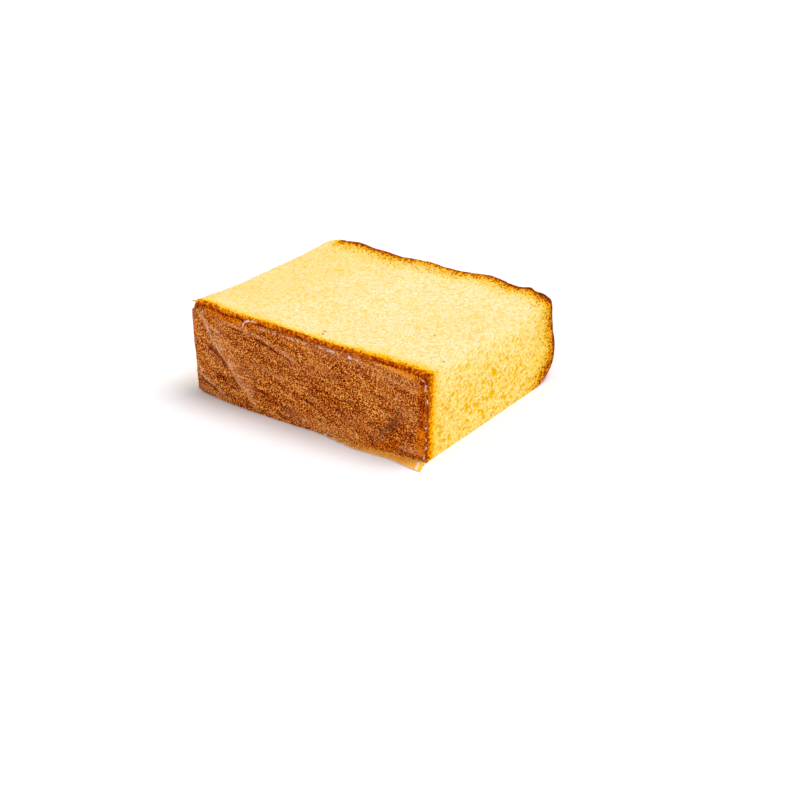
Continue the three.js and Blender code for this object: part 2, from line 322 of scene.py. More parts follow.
sides = {
    "upper_cut": grid_quads(numbers[:, :, -1]),
    "base_crust": grid_quads(numbers[:, 0]),
    "top_crust": grid_quads(numbers[:, -1])[:, ::-1],
    "left_cut": grid_quads(numbers[0])[:, ::-1],
    "right_cut": grid_quads(numbers[-1]),
}
foot = numbers[:, :, 0]
lower_cut = np.concatenate([foot[0, :-1], foot[:-1, -1], foot[-1, :0:-1], foot[:0:-1, 0]])
side_of_face = np.repeat([*sides, "lower_cut"], [*map(len, sides.values()), 1])

# The mesh is made in mm first, for its normals, along which the relief is then carved.
sponge_mesh = bpy.data.meshes.new("sponge_crumb")
sponge_mesh.from_pydata(points, [], [*np.concatenate([*sides.values()]).tolist(), lower_cut.tolist()])
sponge_mesh.update()
outward = np.empty(len(points) * 3, np.float32)
sponge_mesh.vertices.foreach_get("normal", outward)
outward = outward.reshape(-1, 3).astype(float)

front_skin = on_front[on_surface]
end_cut = (on_left | on_right)[on_surface]
TOP_SKIN_THICKNESS = 0.3
top_skin = (on_back[on_surface] | end_cut) & (from_top < TOP_SKIN_THICKNESS)
open_cut = np.where(front_skin | top_skin, 0.0, 1.0)

# Bubbles of two kinds: the cube that holds one, its smallest and largest radius, and the seed. On the side
# cuts they open from the shallow depth at the upper cut to the full one this far below it.
FINE_BUBBLES = (0.9, 0.2, 0.42, 3)
BUBBLES = (1.6, 0.25, 0.72, 4)
BUBBLE_DEPTH = 0.28
LEVEL_BUBBLE_DEPTH = 0.12
DEEPENS_BELOW_CUT = (-2, 13)
# Single large bubbles that the knife laid open: their middle, radius and depth.
LARGE_BUBBLES = (
    ((89.0, 31.9, 14.7), 1.8, 0.5),
    ((89.0, 30.7, 8.0), 1.6, 0.4),
    ((89.0, 17.5, 22.5), 1.2, 0.4),
    ((9.0, 42.6, 28.6), 1.1, 0.35),
    ((19.9, 47.3, 28.1), 1.2, 0.4),
)
# Layers of relief, and the patches of honey, each with its height, lump size and seed.
LARGE_BUBBLE_EDGE = ((0.45, 1.2, 9),)
KNIFE_WAVES = ((0.2, 11, 5), (0.1, 4.3, 6))
TOP_WRINKLES = ((0.18, 3.2, 7), (0.09, 1.3, 8))
BASE_WRINKLES = ((0.07, 1.1, 10),)
HONEY_PATCHES = ((0.3, 9, 12),)


def large_bubbles(points):
    """Depth in mm of the large bubbles: full in the middle, and down to 0 by the smooth step at an edge
    that the lumps push in and out."""
    depth = np.zeros(len(points))
    ragged = layered(points, LARGE_BUBBLE_EDGE)
    for middle, radius, deepest in LARGE_BUBBLES:
        reach = np.sqrt(((points - middle) ** 2).sum(1)) / radius + ragged
        depth = np.maximum(depth, deepest * (1 - smooth_step(reach, 0.3, 1.0)))
    return depth


fine_bubbles = open_bubbles(points, outward, *FINE_BUBBLES)
bubbles = open_bubbles(points, outward, *BUBBLES)
below_cut = upper_cut(points[:, 0], points[:, 1]) - points[:, 2]
end_share = np.where(end_cut, smooth_step(below_cut, *DEEPENS_BELOW_CUT), 0)
deepest = between(LEVEL_BUBBLE_DEPTH, BUBBLE_DEPTH, end_share)
pore_depth = np.minimum(np.maximum(fine_bubbles, bubbles), deepest)
pore_depth = np.maximum(pore_depth, large_bubbles(points)) * open_cut
knife_waves = layered(points, KNIFE_WAVES)
top_wrinkles = np.where(top_skin, layered(points, TOP_WRINKLES), 0)
base_wrinkles = np.where(front_skin, layered(points, BASE_WRINKLES), 0)
skins = top_wrinkles + base_wrinkles
relief = (open_cut * knife_waves + skins - pore_depth) * smooth_step(points[:, 2], 0, 1)
carved = points + outward * relief[:, None]

# The crumb is honeyed at the left, in patches, and so is the base crust's upper edge there. Along the upper
# cut the base's browning is narrower at the left and wider at the right.
HONEYED_LEFT = 0.5
HONEY_REACH = 55.0
HONEYED_EDGE = 0.5
HONEYED_EDGE_DEPTHS = (0.2, 1.4)
BROWNER_RIGHT = (50, 75)
BASE_NARROWER_LEFT = 1.35
BASE_WIDER_RIGHT = 0.95
BASE_DEEPER_RIGHT = 0.3
# By how many mm the top crust's browning reaches less far into the upper cut, along x, and further into
# the side cuts, where it grows over these heights.
TOP_NARROWER = ((0, -0.4), (12, -0.3), (26, 0.3), (50, 0.4), (58, -0.4), (80, -0.4), (86, -1.0))
END_BROWNER = 0.7
END_BROWNER_HEIGHTS = (2, 9)

honey = HONEYED_LEFT * (1 - smooth_step(points[:, 0], 0, HONEY_REACH)) + layered(points, HONEY_PATCHES)
browner_right = smooth_step(points[:, 0], *BROWNER_RIGHT)
near_cut = front_skin * (1 - smooth_step(below_cut, *HONEYED_EDGE_DEPTHS))
honey = np.clip(honey, 0, 1) + HONEYED_EDGE * near_cut * (1 - browner_right)
cut_base = from_base * between(BASE_NARROWER_LEFT, BASE_WIDER_RIGHT, browner_right)
from_base = np.where(end_cut, from_base, cut_base - BASE_DEEPER_RIGHT * browner_right)
narrower = np.interp(points[:, 0], *zip(*TOP_NARROWER))
wider = -END_BROWNER * smooth_step(points[:, 2], *END_BROWNER_HEIGHTS)
from_top = from_top + np.where(end_cut, wider, narrower)


def add_attributes(mesh, domain, values_of):
    """Stores one number for each point or face under each name, for the materials to read."""
    for name, values in values_of.items():
        mesh.attributes.new(name, "FLOAT", domain).data.foreach_set("value", values.astype(np.float32))


def add_object(data):
    """Puts a mesh, lamp or camera in the scene as an object of the same name."""
    added = bpy.data.objects.new(data.name, data)
    bpy.context.collection.objects.link(added)
    return added


sponge_mesh.vertices.foreach_set("co", in_frame(carved).astype(np.float32).ravel())
on_points = {
    "pore_share": pore_depth / deepest,
    "from_base": from_base,
    "from_top": from_top,
    "top_skin": top_skin,
    "end_share": end_share,
    "honey": honey,
}
on_faces = {
    "front_skin": side_of_face == "base_crust",
    "end_cut": np.isin(side_of_face, ("left_cut", "right_cut")),
}
add_attributes(sponge_mesh, "POINT", on_points)
add_attributes(sponge_mesh, "FACE", on_faces)
sponge_mesh.shade_smooth()
sponge_mesh.update()
sponge = add_object(sponge_mesh)


def linear(hex_code):
    """An sRGB colour such as "#fde7a1" as linear red, green, blue and alpha."""
    srgb = np.array([int(hex_code[n : n + 2], 16) for n in (1, 3, 5)]) / 255
    rgb = np.where(srgb <= 0.04045, srgb / 12.92, ((srgb + 0.055) / 1.055) ** 2.4)
    return (*rgb.tolist(), 1.0)


def add_node(tree, kind, inputs=(), stops=(), **settings):
    """Adds a node with its settings, then its inputs: by name, or as a list in the order of its active
    sockets. An input is a value, a socket to link, or a node whose first active output is linked. A colour
    ramp gets stops."""
    node = tree.nodes.new("ShaderNode" + kind)
    for name, value in settings.items():
        setattr(node, name, value)
    if not isinstance(inputs, dict):
        inputs = dict(zip([number for number, socket in enumerate(node.inputs) if socket.enabled], inputs))
    for socket, value in inputs.items():
        if isinstance(value, bpy.types.Node):
            value = next(output for output in value.outputs if output.enabled)
        if isinstance(value, bpy.types.NodeSocket):
            tree.links.new(value, node.inputs[socket])
        else:
            node.inputs[socket].default_value = value
    for number, (place, colour, alpha) in enumerate(stops):
        while len(node.color_ramp.elements) <= number:
            node.color_ramp.elements.new(1)
        element = node.color_ramp.elements[number]
        element.position = place
        element.color = (*linear(colour)[:3], alpha)
    return node


def new_material(name):
    """A new material with an empty node tree, and that tree."""
    material = bpy.data.materials.new(name)
    material.use_nodes = True
    material.node_tree.nodes.clear()
    return material, material.node_tree


def in_reach(stops, reach):
    """Stops of a ramp whose places are given in mm, with each place as a share of the ramp's reach."""
    return [(distance / reach, colour, cover) for distance, colour, cover in stops]


# Castella crumb, baked and cut: a matte, slightly translucent foam. Its pores are painted deeper yellow
# than the web between them, as painted shade and glow of their hollows. Sugar browns it within about 2 mm
# of the base and 5 mm of the top, the pores most.
crumb, tree = new_material("castella_crumb_baked_and_cut")
place = add_node(tree, "TexCoord").outputs["Object"]
# The knife drew the grain out along its stroke. A unit of the patterns is 1.7 mm along the stroke, 0.8 mm
# across it and 1 mm upwards.
KNIFE_STROKE = radians(-52.8)
DRAWN_OUT = (0.0017, 0.0008, 0.001)
stroke = {"Vector": place, "Rotation": (0, 0, KNIFE_STROKE), "Scale": DRAWN_OUT}
mm = add_node(tree, "Mapping", stroke, vector_type="TEXTURE")
sunk_share, base_mm, top_mm, is_top_skin, end_share, honey_share, is_front_skin, is_end_cut = (
    add_node(tree, "Attribute", attribute_name=name).outputs["Fac"] for name in (*on_points, *on_faces)
)

# The web's grain, about 0.1 mm in such a cake, is too fine to show and is drawn at 0.33 mm. Pores are dips
# with painted shade, darker in the middle: chosen cells of a foam, blotches of fine ones, and the bubbles of
# the mesh.
GRAIN = 0.33
BLOTCH = 0.7
SMALL_PORE = 0.72
grain = add_node(tree, "TexNoise", {"Vector": mm, "Scale": 1 / GRAIN, "Detail": 2.0, "Roughness": 0.6})
blotch = add_node(tree, "TexNoise", {"Vector": mm, "Scale": 1 / BLOTCH, "Detail": 2.0, "Roughness": 0.6})
blotches = add_node(tree, "MapRange", [blotch, 0.56, 0.61, 0.0, 0.9])
cells = add_node(tree, "TexVoronoi", {"Vector": mm, "Scale": 1 / SMALL_PORE})
in_cell = add_node(tree, "MapRange", [cells.outputs["Distance"], 0.42, 0.28])
cell_draw = add_node(tree, "SeparateColor", [cells.outputs["Color"]])
chosen = add_node(tree, "MapRange", [cell_draw, 0.55, 0.8])
small_pores = add_node(tree, "Math", [in_cell, chosen], operation="MULTIPLY")
# The mesh's bubbles, painted deeper yellow by their depth: painted shade.
sunk = add_node(tree, "MapRange", [sunk_share, 0.05, 0.6])
finer = add_node(tree, "Math", [small_pores, blotches], operation="MAXIMUM")
pores = add_node(tree, "Math", [finer, sunk], operation="MAXIMUM")

# The upper cut: its web, honeyed in places, and pores that hardly show, but for one cell in twenty. It is
# the same crumb as the side cuts, painted paler and flatter here for the stronger light on top.
LEVEL_WEB = [(0.3, "#e8d07c", 1), (0.5, "#efdca4", 1), (0.7, "#fbf0d8", 1)]
END_WEB = [(0.3, "#f8c800", 1), (0.5, "#fcdc6a", 1), (0.7, "#fffae4", 1)]
level_web = add_node(tree, "ValToRGB", [grain], stops=LEVEL_WEB)
end_web = add_node(tree, "ValToRGB", [grain], stops=END_WEB)
honeyed = add_node(tree, "Mix", [honey_share, level_web, linear("#efcc7c")], data_type="RGBA")
RARE_PORES = 0.05
is_rare = add_node(tree, "Math", [cell_draw.outputs["Green"], 1 - RARE_PORES], operation="GREATER_THAN")
rare_pores = add_node(tree, "Math", [in_cell, is_rare], operation="MULTIPLY")
level_pores = add_node(tree, "Math", [pores, 0.57], operation="MULTIPLY")
level_depth = add_node(tree, "Math", [level_pores, rare_pores], operation="MAXIMUM")
level_cut = add_node(tree, "Mix", [level_depth, honeyed, linear("#f2be08")], data_type="RGBA")

# The side cuts: more saturated than the upper cut for how the light falls on them, painted paler near the
# upper cut against the shade there, with deeper pores and a yellower web further down.
end_strength = add_node(tree, "MapRange", [end_share, 0.0, 1.0, 0.7, 1.0])
end_depth = add_node(tree, "Math", [pores, end_strength], operation="MULTIPLY")
end_paler = add_node(tree, "Mix", [end_share, linear("#ffeaa8"), end_web], data_type="RGBA")
deep_yellow = add_node(tree, "Mix", [end_share, linear("#ffcc04"), linear("#f8ba00")], data_type="RGBA")
end_colour = add_node(tree, "Mix", [end_depth, end_paler, deep_yellow], data_type="RGBA")
# Lit and shaded copies of one crumb: the upper cut's paler web and the side cuts' deeper one.
cut = add_node(tree, "Mix", [is_end_cut, level_cut, end_colour], data_type="RGBA")

# Browning from the base: colours by the distance in mm from the crust's face, and how much each covers. Its
# front is ragged, flecked, and runs ahead in the pores.
BASE_REACH = 8.0
BASE_BROWNING = (
    (0.0, "#983a02", 1), (0.5, "#b25002", 1), (0.9, "#c66602", 1), (1.3, "#da8202", 1), (1.8, "#f09e00", 1),
    (2.6, "#fab400", 1), (3.4, "#fcbe04", 0.75), (4.6, "#fcc81c", 0.3), (BASE_REACH, "#f6d070", 0),
)
RAGGED = 1.0
BROWN_FLECK = 0.75
fringe = add_node(tree, "TexNoise", {"Vector": mm, "Scale": 1 / RAGGED, "Detail": 2.0, "Roughness": 0.8})
ragged = add_node(tree, "MapRange", [fringe, 0.3, 0.7, -1.0, 1.0])
fleck = add_node(tree, "TexNoise", {"Vector": mm, "Scale": 1 / BROWN_FLECK, "Detail": 1.0, "Roughness": 0.6})
flecked = add_node(tree, "MapRange", [fleck, 0.36, 0.58, -1.0, 0.4])
base_flecked = add_node(tree, "Math", [flecked, 0.9, base_mm], operation="MULTIPLY_ADD")
base_ragged = add_node(tree, "Math", [ragged, 0.9, base_flecked], operation="MULTIPLY_ADD")
base_porous = add_node(tree, "Math", [pores, -0.6, base_ragged], operation="MULTIPLY_ADD")
base_share = add_node(tree, "Math", [base_porous, BASE_REACH], operation="DIVIDE")
base_ramp = add_node(tree, "ValToRGB", [base_share], stops=in_reach(BASE_BROWNING, BASE_REACH))
with_base = add_node(tree, "Mix", [base_ramp.outputs[1], cut, base_ramp], data_type="RGBA")

# Browning from the top crust, in the same way, and the darker toast of single cells, whose cover is the
# share of cells that are toasted. The front is uneven over several mm.
TOP_REACH = 12.0
TOP_BROWNING = (
    (0.0, "#8a2c00", 1), (0.3, "#a84400", 1), (0.8, "#cc6c00", 1), (1.6, "#e29000", 1),
    (2.7, "#eeac06", 0.95), (4.2, "#f4ba0e", 0.75), (6.2, "#f6c424", 0.4), (TOP_REACH, "#f8ca50", 0),
)
TOAST = (
    (0.0, "#5c2002", 1), (1.2, "#7c3002", 0.8), (2.6, "#a65c02", 0.6), (4.2, "#be7402", 0.48),
    (6.4, "#d29404", 0.28), (TOP_REACH, "#e4aa18", 0),
)
UNEVEN_BROWNING = 9.0
TOASTED_PORE = 0.8
uneven = add_node(tree, "TexNoise", {"Vector": mm, "Scale": 1 / UNEVEN_BROWNING, "Detail": 1.0})
uneven_mm = add_node(tree, "MapRange", [uneven, 0.3, 0.7, -0.9, 0.9])
top_uneven = add_node(tree, "Math", [top_mm, uneven_mm], operation="ADD")
top_lowest = add_node(tree, "Math", [top_mm, top_uneven], operation="MINIMUM")
fleck_reach = add_node(tree, "MapRange", [is_end_cut, 0.0, 1.0, 1.6, 2.2])
top_ragged = add_node(tree, "Math", [flecked, fleck_reach, top_lowest], operation="MULTIPLY_ADD")
top_share = add_node(tree, "Math", [top_ragged, TOP_REACH], operation="DIVIDE")
top_ramp = add_node(tree, "ValToRGB", [top_share], stops=in_reach(TOP_BROWNING, TOP_REACH))
with_top = add_node(tree, "Mix", [top_ramp.outputs[1], with_base, top_ramp], data_type="RGBA")
toast_ramp = add_node(tree, "ValToRGB", [top_share], stops=in_reach(TOAST, TOP_REACH))
toast_cells = add_node(tree, "TexVoronoi", {"Vector": mm, "Scale": 1 / TOASTED_PORE})
in_toast_cell = add_node(tree, "MapRange", [toast_cells.outputs["Distance"], 0.55, 0.35, 0.0, 0.9])
toast_draw = add_node(tree, "SeparateColor", [toast_cells.outputs["Color"]])
is_toasted = add_node(tree, "Math", [toast_ramp.outputs[1], toast_draw], operation="GREATER_THAN")
toasted = add_node(tree, "Math", [in_toast_cell, is_toasted], operation="MULTIPLY")
with_toast = add_node(tree, "Mix", [toasted, with_top, toast_ramp], data_type="RGBA")

# The skins: the base crust, freckled from dark sugar to honey, and the top crust, mottled brown and softly
# glossy.
BASE_SKIN = (
    (0.34, "#6c1c02", 1), (0.46, "#9c3602", 1), (0.56, "#c05404", 1), (0.66, "#e88c10", 1),
    (0.76, "#f8b020", 1),
)
TOP_SKIN = ((0.44, "#5c1e08", 1), (0.66, "#86380e", 1), (0.88, "#ae6018", 1))
MOTTLE = 6.0
front_tone = add_node(tree, "Math", [honey_share, 0.12, fringe], operation="MULTIPLY_ADD")
front_colour = add_node(tree, "ValToRGB", [front_tone], stops=BASE_SKIN)
with_front = add_node(tree, "Mix", [is_front_skin, with_toast, front_colour], data_type="RGBA")
mottle = add_node(tree, "TexNoise", {"Vector": mm, "Scale": 1 / MOTTLE, "Detail": 4.0, "Roughness": 0.65})
skin_tone = add_node(tree, "Math", [fringe, 0.35, mottle], operation="MULTIPLY_ADD")
skin_colour = add_node(tree, "ValToRGB", [skin_tone], stops=TOP_SKIN)
colour = add_node(tree, "Mix", [is_top_skin, with_front, skin_colour], data_type="RGBA")
roughness = add_node(tree, "MapRange", [is_top_skin, 0.0, 1.0, 0.92, 0.55])
heights = add_node(tree, "Math", [finer, -0.6, grain], operation="MULTIPLY_ADD")
bump = add_node(tree, "Bump", {"Strength": 0.3, "Distance": 0.0003, "Height": heights})
surface = add_node(
    tree,
    "BsdfPrincipled",
    {
        "Base Color": colour,
        "Roughness": roughness,
        "Normal": bump,
        "IOR": 1.42,
        "Specular IOR Level": 0.03,
        "Subsurface Weight": 0.45,
        "Subsurface Radius": (1.0, 0.75, 0.15),
        "Subsurface Scale": 0.001,
    },
)
add_node(tree, "OutputMaterial", {"Surface": surface})
sponge_mesh.materials.append(crumb)

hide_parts("sponge")
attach(sponge, "root")

# ----------------------------------------------------------------------------------------------------------
# Baking paper. A strip of the greased paper that lined the tray, cut through with the cake. It sticks to
# the base crust by its sugar, so the speckled brown crust shows through; where it has come loose it lies in
# folds, and at the right its lower margin bends forward over the table.
# ----------------------------------------------------------------------------------------------------------

PAPER_GAP = 0.2
PAPER_THICKNESS = 0.09
PAPER_LEFT_MARGIN = 0.6
PAPER_LEFT_LEAN = 1.1
PAPER_PAST_RIGHT = 0.2
PAPER_FLOOR_CLEARANCE = 0.15
PAPER_SHORT_AT_LEFT = 0.5
FLAP_BEND_RADIUS = 1.2
FLAP_FROM = 40.0
FLAP_FULL = 68.0
FLAP_WIDENS_FROM = 76.0
FLAP_WIDTH_MIDDLE = 2.2
FLAP_WIDTH_RIGHT = 4.2
FLAP_CORNER_REACH = 1.4
FLAP_TILT = radians(7)
# Share of the strip's rows that lie on the crust. The others make the bend and the flap.
FACE_SHARE = 0.86
# Height of the strip by which its ends are cut, and over which heights its left end leans out.
PAPER_HEIGHT = 27.0
PAPER_LEANS = (4, 24)
PAPER_SHORT_REACH = 14.0
# Wavers of the torn edges: their height, turn in radians for each mm, and start.
TORN_TOP = ((0.12, 4.1, 0), (0.09, 9.7, 1))
RAGGED_END = ((0.18, 1.05, 0), (0.24, 2.7, 1), (0.18, 6.1, 2))
EDGE_CURL = 0.35
EDGE_CURL_REACH = 0.7
# Under the torn upper edge the paper is tucked flat, so this share of its folds is left there.
TUCKED_FOLDS = 0.3
TUCK_REACH = 1.5
# Crumple of the whole strip: heights, lump sizes and seeds.
CRUMPLE = ((0.16, 3.1, 21), (0.06, 1.2, 22))
PAPER_CELLS_ALONG = 360
PAPER_CELLS_DOWN = 124

# The paper's torn upper edge: places along x, and how far below the cut it ends there. It is tucked over
# the crust's rounded edge nearly up to the cut, but for the left corner and the place where a corner is
# folded over.
UPPER_EDGE = (
    (-1.8, 2.7), (1.0, 2.4), (1.8, 1.0), (2.6, 0.5), (8, 0.5), (14.7, 0.4), (19, 0.5), (21, 0.6),
    (22.5, 0.35), (25, 0.35), (26.5, 0.8), (38, 0.75), (44, 0.5), (60, 0.45), (65.6, 0.8), (70.5, 0.6),
    (72, 0.8), (84, 0.8), (86.4, 1.3), (89.5, 1.9),
)

# Folds and creases of the loose paper: their ends in x and z, how far they stand off the crust, their half
# width and how pale they are painted: partly the milkiness of air behind them, partly painted sheen.
PAPER_FOLDS = (
    ((0.7, 27.6), (4.7, 23.6), 0.8, 0.9, 1.0),
    ((4.5, 23.3), (11.7, 22.1), 0.4, 0.7, 1.25),
    ((5.3, 22.2), (8.5, 19.5), 0.8, 1.0, 1.3),
    ((8.5, 19.5), (11.7, 16.9), 0.85, 1.2, 1.4),
    ((11.7, 16.9), (19.8, 8.6), 0.9, 1.5, 1.1),
    ((19.8, 8.6), (25.6, 3.2), 0.8, 1.4, 0.9),
    ((-0.5, 6.8), (3.3, 6.0), 0.5, 0.6, 1.1),
    ((3.3, 6.0), (11.8, 2.6), 0.5, 0.6, 1.1),
    ((9.3, 26.7), (20.8, 25.8), 0.5, 0.6, 0.7),
    ((20.8, 25.8), (31.7, 23.7), 0.5, 0.6, 0.9),
    ((31.7, 23.7), (41.6, 20.2), 0.5, 0.7, 0.9),
    ((25.0, 28.7), (22.6, 28.7), 0.45, 0.4, 0.8),
    ((22.6, 28.7), (21.2, 28.1), 0.5, 0.4, 0.8),
    ((21.2, 28.1), (21.0, 27.1), 0.5, 0.4, 0.8),
    ((21.0, 27.1), (22.1, 26.2), 0.45, 0.4, 0.7),
    ((26.0, 27.3), (46.0, 26.9), 0.3, 0.5, 0.5),
    ((45.0, 27.1), (66.0, 26.4), 0.3, 0.7, 0.6),
    ((66.0, 26.2), (85.0, 24.2), 0.3, 1.2, 0.35),
    ((46.0, 24.8), (53.0, 22.9), 0.25, 0.5, 0.45),
    ((48.0, 21.3), (55.0, 20.3), 0.2, 0.5, 0.35),
    ((74.7, 21.7), (77.9, 21.4), 0.25, 0.4, 0.6),
    ((80.5, 21.8), (85.6, 22.1), 0.3, 0.4, 0.65),
    ((75.0, 24.3), (80.0, 22.9), 0.3, 0.5, 0.55),
    ((20.7, 16.0), (36.2, 13.7), 0.3, 0.9, 0.55),
    ((30.0, 16.0), (62.0, 6.5), 0.25, 1.0, 0.15),
)


def to_stretch(x, z, start, end):
    """Distance of a point to the straight stretch between two ends, all in x and z."""
    run, climb = end[0] - start[0], end[1] - start[1]
    share = np.clip(((x - start[0]) * run + (z - start[1]) * climb) / (run**2 + climb**2), 0, 1)
    return np.hypot(x - between(start[0], end[0], share), z - between(start[1], end[1], share))


def crease(distance, half_width):
    """Profile of a crease, 1 at its rounded crest: e to the minus distance in half widths."""
    return np.exp(0.25 - np.hypot(distance / half_width, 0.25))


def fold_relief(x, z):
    """How far the folds stand off the crust, where each is a crease profile of the distance to its line,
    with the crumple of the whole strip: lumps three times as long as high, on a slant of a quarter."""
    flat = np.stack([x / 3.0 + 1.1 * z, np.zeros_like(x), z - 0.25 * x], -1)
    relief = sum(height * (lumps(flat, size, seed) + 1) for height, size, seed in CRUMPLE)
    for start, end, rise, half_width, milk_and_painted_light in PAPER_FOLDS:
        relief = relief + rise * crease(to_stretch(x, z, start, end), half_width)
    return relief


def waver(place, waves):
    """How far a torn edge strays at a place along it: a sum of sines."""
    return sum(height * np.sin(turn * place + start) for height, turn, start in waves)


def paper_shape(along, down):
    """The paper's middle surface: down the front of the base crust, standing off it by the gap and the
    folds, then round a bend and out over the table as a flap that widens to the right. Its right edge is
    ragged and curls off the crust. Returns points, distances to the flap's rim and the right edge, and the
    share of flap."""
    height = PAPER_HEIGHT * (1 - down)
    right = right_end(height) + PAPER_PAST_RIGHT + waver(height, RAGGED_END)
    left = -PAPER_LEFT_MARGIN - PAPER_LEFT_LEAN * smooth_step(height, *PAPER_LEANS)
    x = between(left, right, along)
    loose = smooth_step(x, FLAP_FROM, FLAP_FULL)
    bend = loose * (np.pi / 2 - FLAP_TILT)
    widening = smooth_step(x, FLAP_WIDENS_FROM, LENGTH)
    flap = loose * between(FLAP_WIDTH_MIDDLE, FLAP_WIDTH_RIGHT, widening)
    short = PAPER_SHORT_AT_LEFT * (1 - smooth_step(x, 0, PAPER_SHORT_REACH))
    edge_height = PAPER_FLOOR_CLEARANCE + short
    bend_height = edge_height + FLAP_BEND_RADIUS * np.sin(bend) + flap * np.cos(bend)
    top_height = upper_cut(x, 0) - np.interp(x, *zip(*UPPER_EDGE)) + waver(x, TORN_TOP)
    z = between(top_height, bend_height, np.minimum(down / FACE_SHARE, 1))
    past = np.maximum(down - FACE_SHARE, 0) / (1 - FACE_SHARE)
    from_end = right - x
    curl = EDGE_CURL * np.exp(-from_end / EDGE_CURL_REACH)
    untucked = between(TUCKED_FOLDS, 1, smooth_step(top_height - z, 0, TUCK_REACH))
    y = base_front(x, z) - PAPER_GAP - (untucked * fold_relief(x, z) + curl) * (1 - smooth_step(past, 0, 0.5))
    turn = bend * np.minimum(2 * past, 1)
    out = flap * np.maximum(2 * past - 1, 0)
    spread = FLAP_CORNER_REACH * (out / FLAP_WIDTH_RIGHT) * widening
    y = y - FLAP_BEND_RADIUS * (1 - np.cos(turn)) - out * np.sin(turn)
    z = z - FLAP_BEND_RADIUS * np.sin(turn) - out * np.cos(turn)
    from_rim = np.where(past > 0.5, flap - out, FLAP_WIDTH_RIGHT)
    return np.stack([x + spread, y, z], -1), from_rim, from_end, smooth_step(past, 0.1, 0.7)


along, down = np.meshgrid(
    np.linspace(0, 1, PAPER_CELLS_ALONG + 1), np.linspace(0, 1, PAPER_CELLS_DOWN + 1), indexing="ij"
)
paper_points, from_rim, from_right_edge, flap_share = paper_shape(along.ravel(), down.ravel())
x, z = paper_points[:, 0], paper_points[:, 2]

# Broad pale places: partly where the paper lies loose and looks hazy, partly painted light on the lit sides
# of folds. Their ends, half widths and strengths.
HAZE_AND_PAINTED_LIGHT = (
    ((46.0, 25.5), (66.0, 24.8), 1.2, 0.4),
    ((66.0, 24.8), (85.0, 22.6), 1.8, 0.5),
    ((-1.4, 26.5), (-1.0, 21.0), 0.9, 0.5),
    ((-0.4, 9.6), (1.2, 7.4), 0.9, 1.0),
    ((9.0, 20.5), (14.0, 15.5), 2.0, 0.9),
    ((14.0, 15.5), (24.0, 6.5), 2.0, 0.7),
    ((13.5, 15.6), (21.5, 7.2), 1.6, 0.95),
    ((9.0, 21.5), (23.0, 11.5), 2.6, 0.4),
    ((1.0, 2.0), (14.0, 1.2), 1.4, 0.5),
    ((3.5, 5.6), (7.5, 4.6), 0.9, 1.3),
    ((80.5, 13.0), (71.5, 3.5), 1.8, 0.4),
    ((80.0, 3.2), (87.0, 2.8), 1.2, 0.8),
    ((74.0, 18.0), (84.0, 14.0), 2.5, 0.35),
    ((38.0, 3.6), (60.0, 2.0), 2.0, 0.55),
    ((30.0, 20.5), (44.0, 17.0), 1.6, 0.25),
    ((46.0, 20.5), (56.0, 18.5), 1.2, 0.45),
    ((60.0, 8.0), (70.0, 5.0), 2.5, 0.3),
)

def marks(stretches):
    """For each stretch, its strength times a bell curve of the paper's distance to it in half widths."""
    return [amount * bell(to_stretch(x, z, start, end), 0, width) for start, end, width, amount in stretches]


flat_points = np.stack([x, 0 * z, z], -1)
# The pale marks are the milkiness of loose paper together with painted sheen and painted light on folds.
fold_milk_and_light = [(start, end, half_width, milk_and_light) for start, end, rise, half_width, milk_and_light in PAPER_FOLDS]
milk_and_painted_light = np.maximum.reduce(marks(HAZE_AND_PAINTED_LIGHT) + marks(fold_milk_and_light)) * (0.8 + 0.4 * lumps(flat_points, 2.3, 34))
# Painted highlights along sharp little creases and edges: their ends, half widths and strengths.
GLINTS = (
    ((25.0, 28.7), (22.6, 28.7), 0.2, 0.7),
    ((22.6, 28.7), (21.2, 28.1), 0.22, 1.0),
    ((21.2, 28.1), (21.0, 27.1), 0.2, 0.9),
    ((21.0, 27.1), (22.1, 26.2), 0.2, 0.8),
    ((27.5, 27.2), (33.0, 26.9), 0.18, 0.9),
    ((36.0, 26.8), (45.0, 26.8), 0.18, 0.9),
    ((49.0, 26.9), (56.0, 26.6), 0.18, 0.8),
    ((60.9, 26.4), (62.2, 26.1), 0.26, 1.9),
    ((64.3, 26.2), (65.3, 26.0), 0.26, 1.9),
    ((70.3, 27.0), (71.0, 26.2), 0.2, 1.1),
    ((71.3, 28.2), (72.0, 27.4), 0.25, 1.4),
    ((2.3, 28.9), (1.6, 27.4), 0.25, 0.8),
    ((1.6, 27.4), (4.0, 26.9), 0.25, 0.7),
    ((87.0, 25.3), (88.4, 25.0), 0.2, 1.1),
    ((88.4, 25.0), (88.6, 22.4), 0.18, 0.9),
)
# Heights of painted highlights along the ragged right edge, with half lengths and strengths.
EDGE_GLINTS = (
    (22.7, 0.3, 0.7), (19.5, 0.5, 2.0), (13.6, 0.25, 0.7), (11.2, 0.4, 1.3), (7.7, 0.3, 1.0),
    (5.2, 0.45, 1.3), (2.0, 0.6, 1.6),
)
# The flap's rim gets a faint painted highlight from the first stretch of x on, with two brighter painted
# points. Near its right end a line of painted highlight, this far from the edge, stands for a white curl that
# is not modelled, and beyond it the paper is soaked golden.
RIM_SHINE = 0.7
RIM_SHINES_FROM = (50, 56)
RIM_POINTS = (53, 61)
RIM_POINT_STRENGTH = 1.5
CURL_HIGHLIGHT_AT = 1.6
CURL_HIGHLIGHT_STRENGTH = 1.6
# The flap's colour comes in over two stretches of x, of which the first gives this share.
FLAP_PALES_FIRST = 0.4
FLAP_PALES = ((50, 60), (66, 73))

